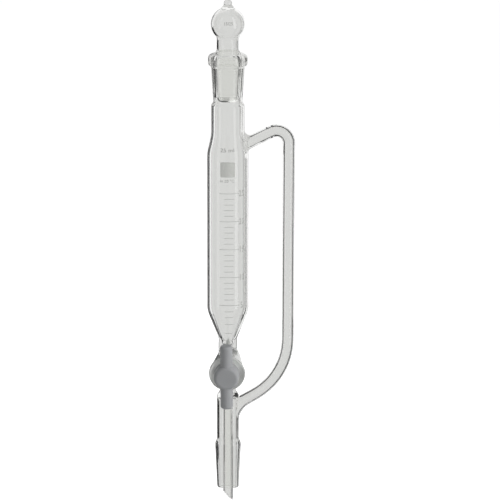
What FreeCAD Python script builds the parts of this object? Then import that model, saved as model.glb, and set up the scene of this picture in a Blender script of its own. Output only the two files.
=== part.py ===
import FreeCAD, Part
import math
import os
import Sketcher
from FreeCAD import Placement, Rotation, Vector

# Pressure-equalizing addition funnel, 25 ml, with size 15/25 ground joints.
# The funnel stands on the Z axis. Height zero is the big end of the lower ground joint.
# The equalizing arm is on the +X side and the stopcock handle is on the -Y side.

SIZES = [
    # Ground joints: the lower cone, the socket and the stopper share one size
    ("joint_radius", "7.5", "ground joint, radius at the big end"),
    ("joint_length", "25", "ground joint, length"),
    ("joint_slope", "0.05", "ground joint, radius lost for each millimetre of length"),
    ("joint_gap", "0.02", "stopper in its socket, radial gap"),
    ("joint_plain_end", "1.2", "plain glass below the ground face of the lower joint"),
    ("joint_wall", "2.2", "lower joint, wall at its big end"),
    ("joint_wall_end", "1.5", "lower joint, wall at its end"),
    ("joint_shoulder", "2.7", "height of the shoulder above the lower joint"),
    ("joint_end_round", "0.9", "lower joint, rounded end"),
    ("joint_top_round", "1.2", "lower joint, rounding at its big end"),
    ("joint_bore_round", "3", "lower joint, roundings of the bore"),
    # Lower tube and the drip tube inside it
    ("low_tube_radius", "6.4", "outer tube below the stopcock, radius"),
    ("low_tube_length", "28.5", "outer tube below the stopcock, length above the joint"),
    ("low_tube_wall", "1.4", "outer tube below the stopcock, wall"),
    ("low_tube_round", "2.2", "outer tube below the stopcock, rounded shoulders"),
    ("low_tube_top_wall", "0.8", "glass over the hollow of the outer tube"),
    ("seal_height", "3", "ring seal that carries the drip tube, height"),
    ("drip_radius", "2.85", "drip tube, radius"),
    ("drip_wall", "1.15", "drip tube, wall"),
    ("drip_root", "0.5", "drip tube, length melted into the ring seal"),
    ("drip_round", "2", "drip tube, roundings where its bore widens"),
    ("drip_reach", "8.9", "drip tube below the end of the joint"),
    ("drip_bevel", "5.4", "height of the slanting cut on the drip tip"),
    # Stopcock barrel and the necks above and below it
    ("stub_radius", "4.5", "neck below the barrel, radius"),
    ("stub_length", "17.1", "from the outer tube's top corner to the barrel axis"),
    ("neck_radius", "5.5", "neck above the barrel, radius"),
    ("neck_bore", "2.4", "bore of the neck above the barrel, radius"),
    ("stub_bore", "2.2", "bore of the neck below the barrel, radius"),
    ("neck_length", "16.5", "from the barrel axis to the foot of the cone"),
    ("neck_narrowing", "0.1", "neck at the foot of the cone, radius lost"),
    ("neck_narrowing_height", "3.5", "height over which the neck narrows"),
    ("neck_round", "4.5", "neck, rounding into the cone"),
    ("port_radius", "1.5", "ports through the barrel wall and the plug, radius"),
    ("port_top_drop", "5", "upper port ends this far under the foot of the cone"),
    ("port_top_widening", "2", "height over which the upper port widens"),
    ("port_low_widening", "1", "height over which the lower port widens"),
    ("barrel_tilt", "10", "slope of the barrel, handle side lower"),
    ("barrel_front", "14", "from the funnel axis to the barrel's big end"),
    ("barrel_back", "11.5", "from the funnel axis to the barrel's small end"),
    ("barrel_wall_front", "3.05", "glass of the barrel at its big end"),
    ("barrel_wall_back", "2.1", "glass of the barrel at its small end"),
    ("barrel_rim", "0.4", "thickening at the barrel's big end"),
    ("rim_width", "2.6", "width of that thickening"),
    ("rim_step", "1", "width over which the barrel thickens"),
    ("rim_round", "3", "rounding into that thickening"),
    ("barrel_edge_round", "0.7", "rounded edges of the barrel"),
    # Reservoir
    ("cone_angle", "22", "cone under the reservoir, half angle"),
    ("body_radius", "12", "reservoir, radius"),
    ("body_wall", "2.15", "reservoir, wall"),
    ("body_length", "92.8", "reservoir, from the cone's corner to the shoulder's corner"),
    ("cone_round", "11.5", "rounding from the cone into the reservoir"),
    ("cone_bore_round", "3", "rounding from the neck's bore into the cone"),
    ("shoulder_length", "10.5", "shoulder, from its lower to its upper corner"),
    ("shoulder_round", "20", "rounding at both corners of the shoulder"),
    ("top_tube_radius", "9.65", "tube above the shoulder, radius"),
    ("top_tube_length", "17.7", "tube above the shoulder, up to the waist"),
    ("top_tube_wall", "2.1", "tube above the shoulder, wall"),
    # Socket and its collar
    ("waist_length", "1.6", "step from the tube to the waist under the socket"),
    ("waist_round", "1.4", "roundings of the waist"),
    ("socket_length", "28.2", "from the waist to the rim of the socket"),
    ("socket_wall_foot", "2.2", "glass behind the ground face at the foot of the socket"),
    ("socket_wall_top", "2.2", "glass behind the ground face under the bead"),
    ("collar_radius", "11.5", "bead at the rim of the socket, radius"),
    ("collar_length", "7.3", "bead at the rim of the socket, height"),
    ("collar_slope", "0.9", "bead at the rim of the socket, height of its sloping foot"),
    ("collar_foot_round", "1", "bead at the rim of the socket, rounding under it"),
    ("collar_round", "2.5", "bead at the rim of the socket, roundings"),
    # Pressure-equalizing arm
    ("arm_radius", "3.5", "equalizing arm, radius"),
    ("arm_wall", "1.1", "equalizing arm, wall"),
    ("arm_reach_top", "35.5", "from the funnel axis to the arm, at its top bend"),
    ("arm_reach_low", "34.5", "from the funnel axis to the arm, at its low bend"),
    ("arm_rise", "27", "slope of the arm where it leaves the shoulder"),
    ("arm_root_drop", "0.3", "arm's line meets the axis this far under the shoulder's corner"),
    ("arm_fall", "30", "slope of the arm where it enters the lower tube"),
    ("arm_foot_drop", "8.6", "arm's line meets the axis this far under the lower tube's top"),
    ("arm_bend_top", "7.3", "centre-line radius of the top bend"),
    ("arm_bend_low", "38", "centre-line radius of the low bend"),
    ("arm_flare_bend", "16", "centre-line radius of the flare where the arm enters the lower tube"),
    ("arm_flare_lead", "0.2", "straight run before the flare"),
    ("arm_flare_run", "2", "straight run after the flare"),
    ("arm_flare_overlap", "0.05", "flare's bore into the bore of the lower tube"),
    ("arm_top_blend", "3", "rounding of the glass where the arm leaves the shoulder"),
    ("arm_bore_blend", "0.8", "rounding of the glass where the arm's bore opens into the shoulder"),
    ("barrel_blend", "1.5", "rounding of the glass between the barrel and its necks"),
    # Hollow stopper
    ("stopper_wall", "0.9", "blown glass of the stopper"),
    ("stopper_depth", "27.3", "stopper inside the socket"),
    ("stopper_end_round", "3", "stopper, rounded end"),
    ("stopper_rim", "0.6", "stopper's widest part above the socket"),
    ("stopper_rim_round", "0.5", "rounding over that part"),
    ("stopper_neck_rise", "2", "stopper's neck begins this far above the socket"),
    ("stopper_neck_round", "3", "roundings at the foot of the stopper's neck"),
    ("stopper_neck_radius", "6.45", "neck of the stopper, radius"),
    ("stopper_neck_length", "10.15", "neck of the stopper, from the socket's rim to the ball"),
    ("stopper_hollow_drop", "6", "stopper's hollow narrows from this far below the socket's rim"),
    ("stopper_hollow_round", "12", "roundings where the stopper's hollow narrows"),
    ("ball_radius", "9.85", "hollow ball of the stopper, radius"),
    ("ball_blend", "2.5", "rounding between the ball and the stopper's neck"),
    ("nib_radius", "2.4", "sealed-off tip on the ball, radius"),
    ("nib_length", "4.6", "sealed-off tip, height over the ball"),
    ("nib_foot_factor", "1.9", "sealed-off tip, how much wider its foot is"),
    ("nib_foot_height", "1.5", "foot of the sealed-off tip, height over and under the ball's top"),
    ("nib_foot_round", "0.8", "rounding over the foot of the sealed-off tip"),
    ("nib_round", "2.2", "rounded end of the sealed-off tip"),
    # Stopcock plug, handle and nut
    ("plug_gap", "0.05", "plug in its barrel, radial gap"),
    ("plug_radius", "7.4", "plug, radius at the barrel's big end"),
    ("plug_slope", "0.1", "plug, radius lost for each millimetre of length"),
    ("plug_step", "0.5", "plug standing out at both ends of the barrel"),
    ("hub_radius", "7.35", "hub of the handle, radius"),
    ("hub_length", "7.9", "hub of the handle, length"),
    ("hub_round", "2.2", "rounded front edge of the hub"),
    ("bar_radius", "3.6", "handle bar, radius"),
    ("bar_length", "38.6", "handle bar, length"),
    ("bar_round", "1.4", "rounded ends of the handle bar"),
    ("tail_radius", "2.6", "tail of the plug, radius"),
    ("tail_round", "0.6", "tail of the plug, rounded end"),
    ("washer_radius", "5.8", "washer behind the barrel, radius"),
    ("washer_height", "1", "washer behind the barrel, thickness"),
    ("washer_gap", "0.1", "washer clear of the glass"),
    ("ring_section", "0.8", "rubber ring, radius of its section"),
    ("nut_radius", "5.6", "nut, radius"),
    ("nut_length", "5.5", "nut, length"),
    ("nut_back_round", "1", "nut, rounding of its outer edge"),
    ("nut_face_round", "0.5", "nut, rounding of its inner edge"),
    ("nut_flutes", "12", "finger flutes round the nut"),
    ("flute_radius", "0.8", "finger flute, radius"),
    ("flute_offset", "0.25", "finger flute, centre outside the nut's rim"),
    ("tail_reach", "1.2", "tail standing out behind the nut"),
    ("thread_gap", "0.02", "washer, ring and nut round the tail, radial gap"),
]

# Heights and sizes that follow from the driving ones
seal_top = "(dims.low_tube_length + dims.seal_height)"
barrel_height = "(dims.low_tube_length + dims.stub_length)"
cone_foot = f"({barrel_height} + dims.neck_length)"
neck_waist = "(dims.neck_radius - dims.neck_narrowing)"
cone_corner = f"({cone_foot} + (dims.body_radius - {neck_waist}) / tan(dims.cone_angle))"
shoulder_low = f"({cone_corner} + dims.body_length)"
shoulder_high = f"({shoulder_low} + dims.shoulder_length)"
waist_low = f"({shoulder_high} + dims.top_tube_length)"
waist_high = f"({waist_low} + dims.waist_length)"
socket_rim = f"({waist_high} + dims.socket_length)"
collar_foot = f"({socket_rim} - dims.collar_length)"
body_bore = "(dims.body_radius - dims.body_wall)"
top_tube_bore = "(dims.top_tube_radius - dims.top_tube_wall)"
low_tube_bore = "(dims.low_tube_radius - dims.low_tube_wall)"
drip_bore = "(dims.drip_radius - dims.drip_wall)"
drip_tip = "(-dims.joint_length - dims.drip_reach)"
joint_end = "(dims.joint_radius - dims.joint_slope * dims.joint_length)"
joint_foot = "(-dims.joint_length - dims.joint_plain_end)"
joint_foot_radius = "(dims.joint_radius - dims.joint_slope * (dims.joint_length + dims.joint_plain_end))"
lower_roof = "(dims.low_tube_length - dims.low_tube_top_wall)"
barrel_bore = "(dims.plug_radius + dims.plug_gap)"
plug_back_radius = "(dims.plug_radius - dims.plug_slope * (dims.barrel_front + dims.barrel_back))"
barrel_back_bore = f"({plug_back_radius} + dims.plug_gap)"
cone_bore_corner = f"({cone_corner} + dims.body_wall * tan(dims.cone_angle / 2))"
cone_bore_foot = f"({cone_bore_corner} - ({body_bore} - dims.neck_bore) / tan(dims.cone_angle))"
shoulder_slope = "atan((dims.body_radius - dims.top_tube_radius) / dims.shoulder_length)"
shoulder_shift = f"(dims.body_wall * tan({shoulder_slope} / 2))"

# Cuts run this far past the glass they cut
OVERRUN = 1.0
# A point this close to a surface or edge counts as lying on it
SEAM_TOLERANCE = 0.001
# A cut has to remove at least this many cubic millimetres
LEAST_CUT = 0.01


def make_sheet(document):
    """Put the driving sizes in a spreadsheet, one alias for each."""
    sheet = document.addObject("Spreadsheet::Sheet", "dims")
    for row, (alias, number, meaning) in enumerate(SIZES, start=1):
        sheet.set(f"A{row}", meaning)
        sheet.set(f"B{row}", number)
        sheet.setAlias(f"B{row}", alias)
    document.recompute()
    return sheet


def new_body(label):
    """A body whose label names the sub-part."""
    body = doc.addObject("PartDesign::Body", label)
    body.Label = label
    doc.recompute()
    return body


def new_sketch(body, name, plane_role):
    """A sketch on one of the body's own origin planes."""
    sketch = body.newObject("Sketcher::SketchObject", name)
    plane = [item for item in body.Origin.OriginFeatures if item.Role == plane_role][0]
    sketch.AttachmentSupport = [(plane, "")]
    sketch.MapMode = "FlatFace"
    doc.recompute()
    return sketch


def number(expression):
    """What an expression over the sheet is worth."""
    result = reader.evalExpression(expression)
    return float(getattr(result, "Value", result))


def bind(sketch, constraint, expression):
    """Add a constraint and tie its value to the sheet."""
    index = sketch.addConstraint(constraint)
    sketch.setExpression(f"Constraints[{index}]", expression)


def pin_point(sketch, item, end, x, y):
    """Hold one point of a sketch at coordinates given as expressions."""
    if x == "0":
        sketch.addConstraint(Sketcher.Constraint("PointOnObject", item, end, -2))
    else:
        bind(sketch, Sketcher.Constraint("DistanceX", item, end, number(x)), x)
    if y == "0":
        sketch.addConstraint(Sketcher.Constraint("PointOnObject", item, end, -1))
    else:
        bind(sketch, Sketcher.Constraint("DistanceY", item, end, number(y)), y)


def draw_outline(sketch, corners, closed=True):
    """Lines through corners (x, y) or (x, y, rounding), each value an expression."""
    points = [Vector(number(corner[0]), number(corner[1]), 0) for corner in corners]
    count = len(points)
    leaving = list(points)
    arriving = list(points)
    arcs = {}
    for index, corner in enumerate(corners):
        if len(corner) < 3:
            continue
        before = (points[index - 1] - points[index]).normalize()
        after = (points[(index + 1) % count] - points[index]).normalize()
        radius = number(corner[2])
        half = before.getAngle(after) / 2
        arriving[index] = points[index] + before * (radius / math.tan(half))
        leaving[index] = points[index] + after * (radius / math.tan(half))
        centre = points[index] + (before + after).normalize() * (radius / math.sin(half))
        left_turn = before.cross(after).z < 0
        first, last = (arriving, leaving) if left_turn else (leaving, arriving)
        start = first[index] - centre
        stop = last[index] - centre
        circle = Part.Circle(centre, Vector(0, 0, 1), radius)
        arcs[index] = (Part.ArcOfCircle(circle, math.atan2(start.y, start.x), math.atan2(stop.y, stop.x)),
                       left_turn)
    lines = count if closed else count - 1
    for index in range(lines):
        sketch.addGeometry(Part.LineSegment(leaving[index], arriving[(index + 1) % count]))
    for index, corner in enumerate(corners):
        before_line = (index - 1) % count
        if index in arcs:
            arc, left_turn = arcs[index]
            arc_item = sketch.addGeometry(arc)
            first, last = (1, 2) if left_turn else (2, 1)
            sketch.addConstraint(Sketcher.Constraint("Tangent", before_line, 2, arc_item, first))
            sketch.addConstraint(Sketcher.Constraint("Tangent", arc_item, last, index, 1))
            bind(sketch, Sketcher.Constraint("Radius", arc_item, number(corner[2])), corner[2])
            held = sketch.addGeometry(Part.Point(points[index]), True)
            sketch.addConstraint(Sketcher.Constraint("PointOnObject", held, 1, before_line))
            sketch.addConstraint(Sketcher.Constraint("PointOnObject", held, 1, index))
            pin_point(sketch, held, 1, corner[0], corner[1])
        elif not closed and index == count - 1:
            pin_point(sketch, index - 1, 2, corner[0], corner[1])
        else:
            if closed or index > 0:
                sketch.addConstraint(Sketcher.Constraint("Coincident", before_line, 2, index, 1))
            pin_point(sketch, index, 1, corner[0], corner[1])
    doc.recompute()


def draw_circle(sketch, radius):
    """A circle round the sketch's origin."""
    item = sketch.addGeometry(Part.Circle(Vector(0, 0, 0), Vector(0, 0, 1), number(radius)))
    sketch.addConstraint(Sketcher.Constraint("Coincident", item, 3, -1, 1))
    bind(sketch, Sketcher.Constraint("Radius", item, number(radius)), radius)
    doc.recompute()


def turn(body, kind, name, sketch):
    """Revolution or Groove of a sketch about its vertical axis."""
    feature = body.newObject(f"PartDesign::{kind}", name)
    feature.Profile = sketch
    feature.ReferenceAxis = (sketch, ["V_Axis"])
    feature.Angle = 360
    sketch.Visibility = False
    doc.recompute()
    return feature


def turned(body, kind, name, plane_role, corners):
    """Draw an outline and turn it about its vertical axis."""
    sketch = new_sketch(body, f"{name}_outline", plane_role)
    draw_outline(sketch, corners)
    return turn(body, kind, name, sketch)


def cut_must_shrink(feature, volume_before):
    """Stop when a cut has removed nothing."""
    if feature.Shape.Volume > volume_before - LEAST_CUT:
        raise RuntimeError(f"{feature.Name} cuts nothing")


def groove(body, name, plane_role, corners):
    """Cut a turned hollow out of the body."""
    before = body.Shape.Volume
    feature = turned(body, "Groove", name, plane_role, corners)
    cut_must_shrink(feature, before)
    return feature


def lay_on_barrel(sketch):
    """Turn a sketch on the YZ plane so that its vertical axis runs along the barrel to the handle."""
    sketch.AttachmentOffset = Placement(Vector(0, number(barrel_height), 0), Rotation(Vector(0, 0, 1), 90))
    sketch.setExpression("AttachmentOffset.Base.y", barrel_height)
    sketch.setExpression("AttachmentOffset.Rotation.Angle", "90 + dims.barrel_tilt")
    doc.recompute()


def place_on_barrel(item):
    """Stand a piece on the barrel's axis, its own +Z toward the handle."""
    item.Placement = Placement(Vector(0, 0, number(barrel_height)), Rotation(Vector(1, 0, 0), 90))
    item.setExpression("Placement.Base.z", barrel_height)
    item.setExpression("Placement.Rotation.Angle", "90 + dims.barrel_tilt")


def sweep(body, kind, name, route, radius):
    """Pipe of round section along the route's edges."""
    section = body.newObject("Sketcher::SketchObject", f"{name}_section")
    section.AttachmentSupport = [(route, "Edge1")]
    section.MapMode = "NormalToEdge"
    doc.recompute()
    draw_circle(section, radius)
    pipe = body.newObject(f"PartDesign::{kind}", name)
    pipe.Profile = section
    pipe.Spine = (route, [f"Edge{index + 1}" for index in range(len(route.Shape.Edges))])
    section.Visibility = False
    doc.recompute()
    return pipe


def seam_edges(before, after):
    """Names of the new edges that lie on the surface of the shape that was there before."""
    names = []
    for index, edge in enumerate(after.Edges, start=1):
        middle = Part.Vertex(edge.valueAt((edge.FirstParameter + edge.LastParameter) / 2))
        on_surface = before.Shells[0].distToShape(middle)[0] < SEAM_TOLERANCE
        is_new = all(old.distToShape(middle)[0] > SEAM_TOLERANCE for old in before.Edges)
        if on_surface and is_new:
            names.append((f"Edge{index}", middle.Z))
    return names


def blend(body, name, base, edges, radius):
    """Round the melted glass along some edges of a feature."""
    feature = body.newObject("PartDesign::Fillet", name)
    feature.Base = (base, edges)
    feature.Radius = number(radius)
    feature.setExpression("Radius", radius)
    doc.recompute()
    return feature


# Glass body: one blown piece with the socket, reservoir, barrel, lower joint and arm
def make_funnel_body():
    body = new_body("funnel_body")

    # Outside of the tubes, solid for now
    tubes = turned(body, "Revolution", "glass_outside", "XZ_Plane", [
        ("0", joint_foot),
        (joint_foot_radius, joint_foot, "dims.joint_end_round"),
        ("dims.joint_radius", "0", "dims.joint_top_round"),
        ("dims.low_tube_radius", "dims.joint_shoulder", "dims.low_tube_round"),
        ("dims.low_tube_radius", "dims.low_tube_length", "dims.low_tube_round"),
        ("dims.stub_radius", seal_top, "dims.low_tube_round"),
        ("dims.stub_radius", barrel_height),
        ("dims.neck_radius", barrel_height),
        ("dims.neck_radius", f"{cone_foot} - dims.neck_narrowing_height", "dims.neck_round"),
        (neck_waist, cone_foot, "dims.neck_round"),
        ("dims.body_radius", cone_corner, "dims.cone_round"),
        ("dims.body_radius", shoulder_low, "dims.shoulder_round"),
        ("dims.top_tube_radius", shoulder_high, "dims.shoulder_round"),
        ("dims.top_tube_radius", waist_low, "dims.waist_round"),
        (f"{joint_end} + dims.socket_wall_foot", waist_high, "dims.waist_round"),
        ("dims.joint_radius + dims.socket_wall_top", collar_foot, "dims.collar_foot_round"),
        ("dims.collar_radius", f"{collar_foot} + dims.collar_slope", "dims.collar_round"),
        ("dims.collar_radius", socket_rim, "dims.collar_round"),
        ("0", socket_rim),
    ])

    # Equalizing arm along its route from the shoulder to the lower tube
    route = new_sketch(body, "arm_route", "XZ_Plane")
    arm_root = f"({shoulder_low} - dims.arm_root_drop)"
    arm_foot = "(dims.low_tube_length - dims.arm_foot_drop)"
    start_reach = "(dims.body_radius / 2)"
    end_reach = f"({low_tube_bore} / 2)"
    draw_outline(route, [
        (start_reach, f"{arm_root} + {start_reach} * tan(dims.arm_rise)"),
        ("dims.arm_reach_top", f"{arm_root} + dims.arm_reach_top * tan(dims.arm_rise)", "dims.arm_bend_top"),
        ("dims.arm_reach_low", f"{arm_foot} + dims.arm_reach_low * tan(dims.arm_fall)", "dims.arm_bend_low"),
        (end_reach, f"{arm_foot} + {end_reach} * tan(dims.arm_fall)"),
    ], closed=False)
    sweep(body, "AdditivePipe", "arm_outside", route, "dims.arm_radius")

    # Flare under the arm's foot, where the glass runs down into the lower tube
    flare = new_sketch(body, "arm_flare_route", "XZ_Plane")
    flare_reach = f"({low_tube_bore} - dims.arm_radius + dims.arm_wall - dims.arm_flare_overlap)"
    flare_length = "(dims.arm_flare_bend * tan((90 - dims.arm_fall) / 2) + dims.arm_flare_lead)"
    flare_start = f"({flare_reach} + {flare_length} * cos(dims.arm_fall))"
    flare_corner = f"({arm_foot} + {flare_reach} * tan(dims.arm_fall))"
    draw_outline(flare, [
        (flare_start, f"{arm_foot} + {flare_start} * tan(dims.arm_fall)"),
        (flare_reach, flare_corner, "dims.arm_flare_bend"),
        (flare_reach, f"{flare_corner} - {flare_length} - dims.arm_flare_run"),
    ], closed=False)
    arm = sweep(body, "AdditivePipe", "arm_flare", flare, "dims.arm_radius")
    seams = seam_edges(tubes.Shape, arm.Shape)
    top_seam = [name for name, height in seams if height > number(cone_corner)]
    arm = blend(body, "arm_top_blend", arm, top_seam, "dims.arm_top_blend")

    # Barrel of the stopcock, across the necks
    barrel = new_sketch(body, "barrel_outline", "YZ_Plane")
    lay_on_barrel(barrel)
    back_outside = f"({barrel_back_bore} + dims.barrel_wall_back)"
    front_outside = f"({barrel_bore} + dims.barrel_wall_front)"
    rim_start = "(dims.barrel_front - dims.rim_width)"
    draw_outline(barrel, [
        ("0", "-dims.barrel_back"),
        (back_outside, "-dims.barrel_back", "dims.barrel_edge_round"),
        (f"{front_outside} - dims.barrel_rim", rim_start, "dims.rim_round"),
        (front_outside, f"{rim_start} + dims.rim_step", "dims.barrel_edge_round"),
        (front_outside, "dims.barrel_front", "dims.barrel_edge_round"),
        ("0", "dims.barrel_front"),
    ])
    outside = turn(body, "Revolution", "barrel_outside", barrel)
    seams = seam_edges(arm.Shape, outside.Shape)
    blend(body, "barrel_blend", outside, [name for name, height in seams], "dims.barrel_blend")

    # Hollow from the socket down to the barrel
    port_top = f"({cone_foot} - dims.port_top_drop)"
    groove(body, "upper_hollow", "XZ_Plane", [
        ("0", barrel_height),
        ("dims.port_radius", barrel_height),
        ("dims.port_radius", port_top),
        ("dims.neck_bore", f"{port_top} + dims.port_top_widening"),
        ("dims.neck_bore", cone_bore_foot, "dims.cone_bore_round"),
        (body_bore, cone_bore_corner, "dims.cone_round - dims.body_wall"),
        (body_bore, f"{shoulder_low} - {shoulder_shift}", "dims.shoulder_round - dims.body_wall"),
        (top_tube_bore, f"{shoulder_high} - {shoulder_shift}", "dims.shoulder_round + dims.body_wall"),
        (top_tube_bore, waist_low, "dims.waist_round"),
        (joint_end, f"{socket_rim} - dims.joint_length", "dims.waist_round"),
        ("dims.joint_radius", socket_rim),
        (f"dims.joint_radius + dims.joint_slope * {OVERRUN}", f"{socket_rim} + {OVERRUN}"),
        ("0", f"{socket_rim} + {OVERRUN}"),
    ])

    # Hollow of the lower tube and joint, up to the ring seal
    groove(body, "lower_hollow", "XZ_Plane", [
        ("0", f"{joint_foot} - {OVERRUN}"),
        (f"{joint_foot_radius} - dims.joint_wall_end", f"{joint_foot} - {OVERRUN}"),
        ("dims.joint_radius - dims.joint_wall", "0", "dims.joint_bore_round"),
        (low_tube_bore, "dims.joint_shoulder", "dims.joint_bore_round"),
        (low_tube_bore, lower_roof, "dims.low_tube_round"),
        ("0", lower_roof),
    ])
    hollow = body.Shape
    bore = sweep(body, "SubtractivePipe", "arm_bore", route, "dims.arm_radius - dims.arm_wall")
    cut_must_shrink(bore, hollow.Volume)
    seams = seam_edges(hollow, bore.Shape)
    top_seam = [name for name, height in seams if height > number(cone_corner)]
    blend(body, "arm_bore_blend", bore, top_seam, "dims.arm_bore_blend")
    before = body.Shape.Volume
    cut_must_shrink(sweep(body, "SubtractivePipe", "flare_bore", flare, "dims.arm_radius - dims.arm_wall"), before)
    route.Visibility = False
    flare.Visibility = False

    # Drip tube, hung from the ring seal and open below
    turned(body, "Revolution", "drip_tube", "XZ_Plane", [
        ("0", drip_tip),
        ("dims.drip_radius", drip_tip),
        ("dims.drip_radius", "dims.low_tube_length + dims.drip_root"),
        ("0", "dims.low_tube_length + dims.drip_root"),
    ])
    port_foot = f"({barrel_height} - {plug_back_radius} - dims.port_low_widening)"
    groove(body, "drip_bore", "XZ_Plane", [
        ("0", f"{drip_tip} - {OVERRUN}"),
        (drip_bore, f"{drip_tip} - {OVERRUN}"),
        (drip_bore, "dims.low_tube_length", "dims.drip_round"),
        ("dims.stub_bore", seal_top, "dims.drip_round"),
        ("dims.stub_bore", f"{port_foot} - dims.port_low_widening"),
        ("dims.port_radius", port_foot),
        ("dims.port_radius", barrel_height),
        ("0", barrel_height),
    ])

    # Slanting cut on the drip tip: the +X side stays longest
    bevel = new_sketch(body, "drip_bevel_outline", "XZ_Plane")
    draw_outline(bevel, [
        ("dims.drip_radius", drip_tip),
        (f"-dims.drip_radius - {OVERRUN}", f"{drip_tip} + dims.drip_bevel"
         f" + {OVERRUN} * dims.drip_bevel / (2 * dims.drip_radius)"),
        (f"-dims.drip_radius - {OVERRUN}", f"{drip_tip} - {OVERRUN}"),
        ("dims.drip_radius", f"{drip_tip} - {OVERRUN}"),
    ])
    before = body.Shape.Volume
    cut = body.newObject("PartDesign::Pocket", "drip_bevel_cut")
    cut.Profile = bevel
    cut.Type = "ThroughAll"
    cut.Midplane = True
    bevel.Visibility = False
    doc.recompute()
    cut_must_shrink(cut, before)

    # Tapered seat of the plug
    seat = new_sketch(body, "plug_seat_outline", "YZ_Plane")
    lay_on_barrel(seat)
    past_front = f"(dims.barrel_front + {OVERRUN})"
    past_back = f"(dims.barrel_back + {OVERRUN})"
    draw_outline(seat, [
        ("0", f"-{past_back}"),
        (f"{barrel_back_bore} - dims.plug_slope * {OVERRUN}", f"-{past_back}"),
        (f"{barrel_bore} + dims.plug_slope * {OVERRUN}", past_front),
        ("0", past_front),
    ])
    before = body.Shape.Volume
    cut_must_shrink(turn(body, "Groove", "plug_seat", seat), before)
    return body


# Hollow stopper of blown glass, with a ball to hold it by and a sealed-off tip
def make_stopper():
    body = new_body("stopper")
    plug_top = "(dims.joint_radius - dims.joint_gap)"
    plug_end = "(dims.joint_radius - dims.joint_gap - dims.joint_slope * dims.stopper_depth)"
    ball_height = f"({socket_rim} + dims.stopper_neck_length" \
                  " + sqrt(dims.ball_radius ^ 2 - dims.stopper_neck_radius ^ 2))"
    low_end = f"({socket_rim} - dims.stopper_depth)"
    blank = turned(body, "Revolution", "stopper_outside", "XZ_Plane", [
        ("0", low_end),
        (plug_end, low_end, "dims.stopper_end_round"),
        (plug_top, socket_rim),
        (plug_top, f"{socket_rim} + dims.stopper_rim", "dims.stopper_rim_round"),
        ("dims.stopper_neck_radius", f"{socket_rim} + dims.stopper_neck_rise", "dims.stopper_neck_round"),
        ("dims.stopper_neck_radius", ball_height),
        ("0", ball_height),
    ])
    ball = body.newObject("PartDesign::AdditiveSphere", "ball_outside")
    ball.Radius = number("dims.ball_radius")
    ball.setExpression("Radius", "dims.ball_radius")
    ball.setExpression("Placement.Base.z", ball_height)
    doc.recompute()
    foot = f"({ball_height} - dims.ball_radius / 2)"
    seams = seam_edges(blank.Shape, ball.Shape)
    blend(body, "ball_blend", ball, [name for name, height in seams if height < number(foot)], "dims.ball_blend")
    ball_top = f"({ball_height} + dims.ball_radius)"
    nib_top = f"({ball_top} + dims.nib_length)"
    nib_foot = "(dims.nib_radius * dims.nib_foot_factor)"
    turned(body, "Revolution", "sealed_tip", "XZ_Plane", [
        ("0", ball_height),
        (nib_foot, ball_height),
        (nib_foot, f"{ball_top} - dims.nib_foot_height"),
        ("dims.nib_radius", f"{ball_top} + dims.nib_foot_height", "dims.nib_foot_round"),
        ("dims.nib_radius", nib_top, "dims.nib_round"),
        ("0", nib_top),
    ])
    before = body.Shape.Volume
    inner_end = f"({plug_end} - dims.stopper_wall)"
    inner_round = "(dims.stopper_end_round - dims.stopper_wall / 2)"
    turned(body, "Groove", "stopper_hollow", "XZ_Plane", [
        ("0", f"{low_end} + dims.stopper_wall"),
        (inner_end, f"{low_end} + dims.stopper_wall", inner_round),
        (f"{plug_top} - dims.stopper_wall - dims.joint_slope * dims.stopper_hollow_drop",
         f"{socket_rim} - dims.stopper_hollow_drop", "dims.stopper_hollow_round"),
        ("dims.stopper_neck_radius - dims.stopper_wall",
         f"{socket_rim} + dims.stopper_neck_rise", "dims.stopper_hollow_round"),
        ("dims.stopper_neck_radius - dims.stopper_wall", ball_height),
        ("0", ball_height),
    ])
    hollow = body.newObject("PartDesign::SubtractiveSphere", "ball_hollow")
    hollow.Radius = number("dims.ball_radius - dims.stopper_wall")
    hollow.setExpression("Radius", "dims.ball_radius - dims.stopper_wall")
    hollow.setExpression("Placement.Base.z", ball_height)
    doc.recompute()
    cut_must_shrink(hollow, before)
    return body


# Stopcock plug: a tapered plug with a cross bore, a hub for the handle and a tail for the nut
def make_plug():
    body = new_body("stopcock_plug")
    back_end = "(dims.barrel_back + dims.washer_gap / 2)"
    hub_start = "(dims.barrel_front + dims.plug_step)"
    hub_face = f"({hub_start} + dims.hub_length)"
    tail_end = "(dims.barrel_back + dims.washer_gap + dims.washer_height + 2 * dims.ring_section" \
               " + dims.nut_length + dims.tail_reach)"
    turned(body, "Revolution", "plug_and_hub", "XZ_Plane", [
        ("0", f"-{tail_end}"),
        ("dims.tail_radius", f"-{tail_end}", "dims.tail_round"),
        ("dims.tail_radius", f"-{back_end}"),
        (plug_back_radius, f"-{back_end}"),
        (plug_back_radius, "-dims.barrel_back"),
        ("dims.plug_radius", "dims.barrel_front"),
        ("dims.plug_radius", hub_start),
        ("dims.hub_radius", hub_start),
        ("dims.hub_radius", hub_face, "dims.hub_round"),
        ("0", hub_face),
    ])
    bores = [
        ("port", "dims.port_radius", "0"),
        ("bar_hole", "dims.bar_radius", bar_station),
    ]
    for name, radius, station in bores:
        sketch = new_sketch(body, f"{name}_outline", "XZ_Plane")
        item = sketch.addGeometry(Part.Circle(Vector(0, number(station), 0), Vector(0, 0, 1), number(radius)))
        pin_point(sketch, item, 3, "0", station)
        bind(sketch, Sketcher.Constraint("Radius", item, number(radius)), radius)
        before = body.Shape.Volume
        hole = body.newObject("PartDesign::Pocket", name)
        hole.Profile = sketch
        hole.Type = "ThroughAll"
        hole.Midplane = True
        sketch.Visibility = False
        doc.recompute()
        cut_must_shrink(hole, before)
    place_on_barrel(body)
    return body


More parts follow.
